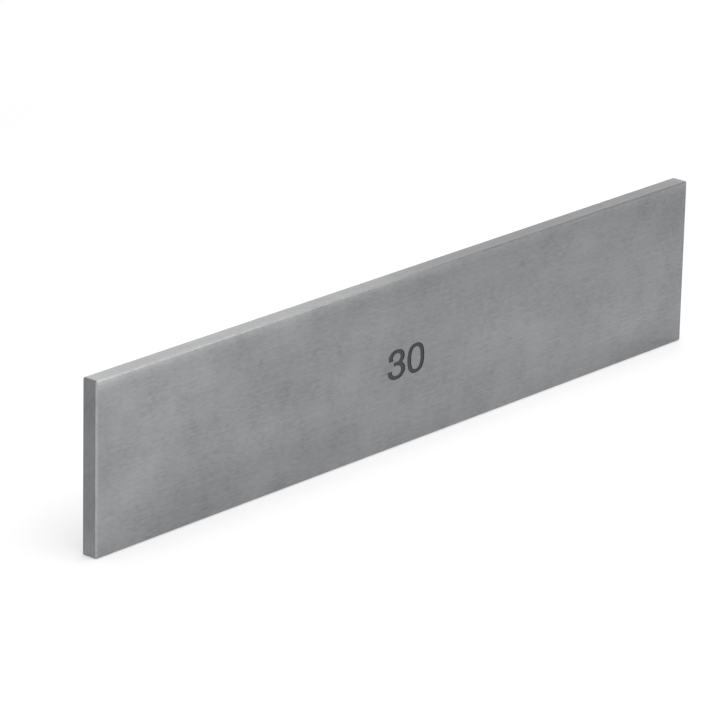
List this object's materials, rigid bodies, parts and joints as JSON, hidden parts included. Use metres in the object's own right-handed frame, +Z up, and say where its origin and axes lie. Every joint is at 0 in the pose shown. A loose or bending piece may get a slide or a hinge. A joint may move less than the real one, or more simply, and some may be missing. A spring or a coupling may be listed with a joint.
{
  "type": "precision parallel",
  "caption": "Flat hardened and ground steel bar of exact height and thickness, with broken edges and a plain size number, for packing up work in a vice.",
  "frame": {"origin": "middle of the bottom edge face that the bar stands on", "axes": "+X along the length, +Y through the thickness towards the unmarked back face, +Z up the height; the number reads from -Y"},
  "size_m": [0.15, 0.0032, 0.03],
  "materials": {
    "ground_steel": "surface ground, satin, with fine grinding lines along the length"
  },
  "bodies": {
    "root": {"parallel_bar": "ground_steel"}
  },
  "joints": []
}
